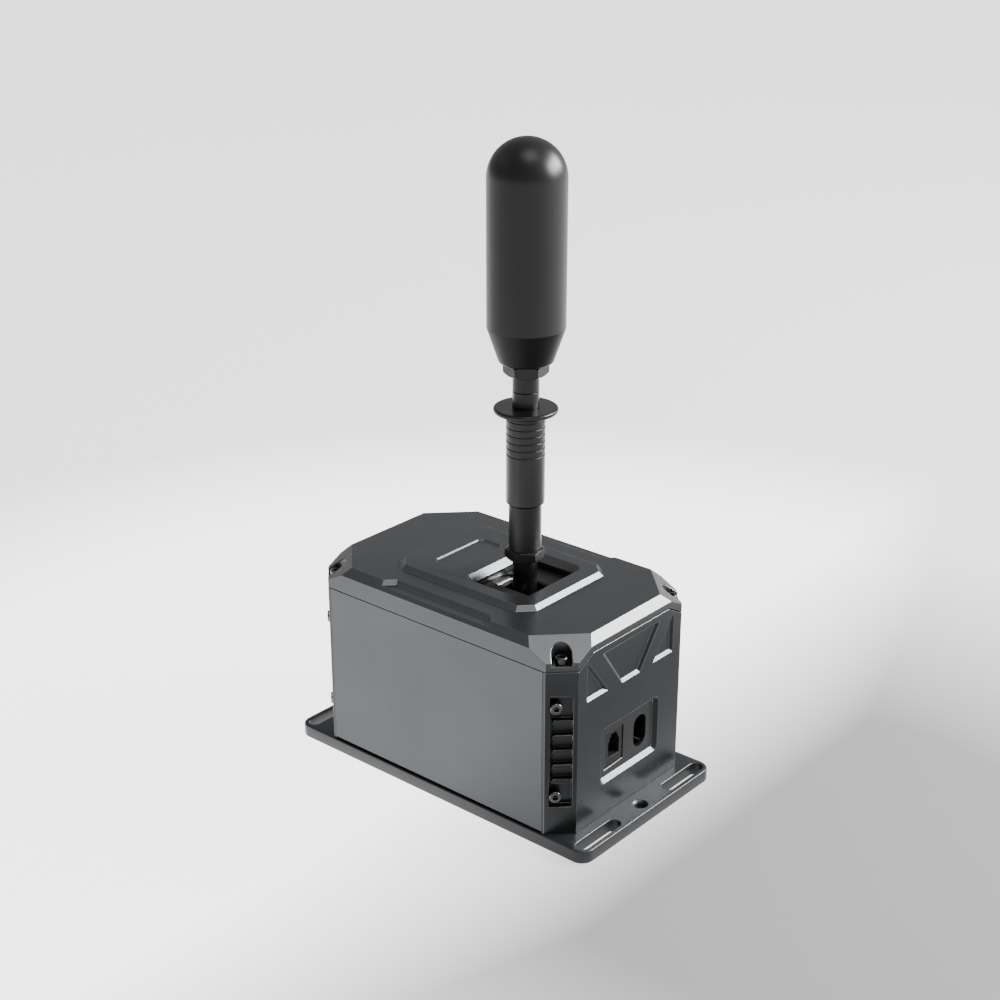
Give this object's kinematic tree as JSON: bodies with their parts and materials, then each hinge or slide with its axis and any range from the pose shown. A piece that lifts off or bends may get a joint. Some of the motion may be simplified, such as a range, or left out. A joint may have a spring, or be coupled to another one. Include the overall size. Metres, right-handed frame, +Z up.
{
  "type": "gear shifter",
  "caption": "Floor or rig mounted gear shifter for driving games: faceted metal box with ribbed corners, slotted base plate and a tall black lever with lift collar and long knob.",
  "frame": {"origin": "centre of the base plate's foot", "axes": "+X towards the end with the sockets, +Y to the left side seen from behind, +Z up along the lever"},
  "size_m": [0.18, 0.099, 0.3029],
  "materials": {
    "base": "dark grey anodised, satin",
    "cover": "dark grey anodised, fine satin",
    "panel": "grey anodised, fine satin",
    "silver_screw": "bright zinc",
    "black_screw": "blackened",
    "inner_block": "plain machined",
    "shield": "matte black",
    "gate": "cut plate",
    "bush": "plain",
    "pin": "ground",
    "spring": "spring wire",
    "spring_guide": "moulded",
    "magnet": "nickel plated",
    "board": "green mask",
    "jack": "moulded black",
    "usb_shell": "drawn shell",
    "lever": "satin black",
    "collar": "satin black anodised",
    "knob": "soft matte black"
  },
  "bodies": {
    "housing": {"base_plate": "base", "base_screws": "black_screw", "block_screws": "black_screw", "board_screws": "black_screw", "corner_block_front_left": "inner_block", "corner_block_front_right": "inner_block", "corner_block_rear_left": "inner_block", "corner_block_rear_right": "inner_block", "corner_screws": "silver_screw", "front_bearing_block": "inner_block", "rear_bearing_block": "inner_block", "front_end_cover": "cover", "rear_end_cover": "cover", "front_select_bush": "bush", "rear_select_bush": "bush", "gate_screws": "black_screw", "guide_frame": "inner_block", "guide_frame_screws": "black_screw", "left_centring_spring": "spring", "right_centring_spring": "spring", "left_side_panel": "panel", "right_side_panel": "panel", "main_board": "board", "mechanism_floor": "inner_block", "modular_jack": "jack", "select_sensor_board": "board", "shift_gate": "gate", "spring_guides": "spring_guide", "top_cover": "cover", "top_cover_screws": "black_screw", "usb_socket": "usb_shell"},
    "cradle": {"select_cradle": "inner_block", "front_select_pin": "pin", "rear_select_pin": "pin", "left_shift_bush": "bush", "right_shift_bush": "bush", "detent_bracket": "inner_block", "cradle_screws": "black_screw", "detent_spring": "spring", "select_magnet": "magnet", "shift_sensor_board": "board"},
    "lever": {"lever_hub": "inner_block", "hub_set_screws": "black_screw", "left_shift_pin": "pin", "right_shift_pin": "pin", "detent_sector": "pin", "shift_magnet": "magnet", "lever_rod": "lever", "gate_pin": "pin", "jam_nut": "lever", "lever_tube": "lever", "spring_stop_ring": "pin", "collar_spring": "spring", "knob_nut": "lever", "knob": "knob"},
    "collar": {"lift_collar": "collar", "lockout_pins": "pin", "lockout_rod": "pin"},
    "plunger": {"detent_plunger": "pin"},
    "shield": {"dust_shield": "shield"}
  },
  "joints": [
    {"name": "select_tilt", "type": "hinge", "parent": "housing", "child": "cradle", "pos_m": [0.0144, 0, 0.058], "axis": [1, 0, 0], "range_deg": [-8, 8], "stiffness_Nm_per_rad": 6, "deforming": ["left_centring_spring", "right_centring_spring"]},
    {"name": "shift_tilt", "type": "hinge", "parent": "cradle", "child": "lever", "pos_m": [0.0144, 0, 0.058], "axis": [0, 1, 0], "range_deg": [-7, 7]},
    {"name": "collar_lift", "type": "slide", "parent": "lever", "child": "collar", "axis": [0, 0, 1], "range_m": [0, 0.008], "stiffness_N_per_m": 600, "springref_m": -0.005, "deforming": ["collar_spring"]},
    {"name": "plunger_rise", "type": "slide", "parent": "cradle", "child": "plunger", "axis": [0, 0, 1], "range_m": [0, 0.001], "deforming": ["detent_spring"]},
    {"name": "shield_slide", "type": "slide", "parent": "housing", "child": "shield", "axis": [0, 1, 0], "range_m": [-0.0056, 0.0056]}
  ],
  "couplings": [
    {"joint": "shield_slide", "follows": "select_tilt", "m_per_rad": -0.0372}
  ]
}
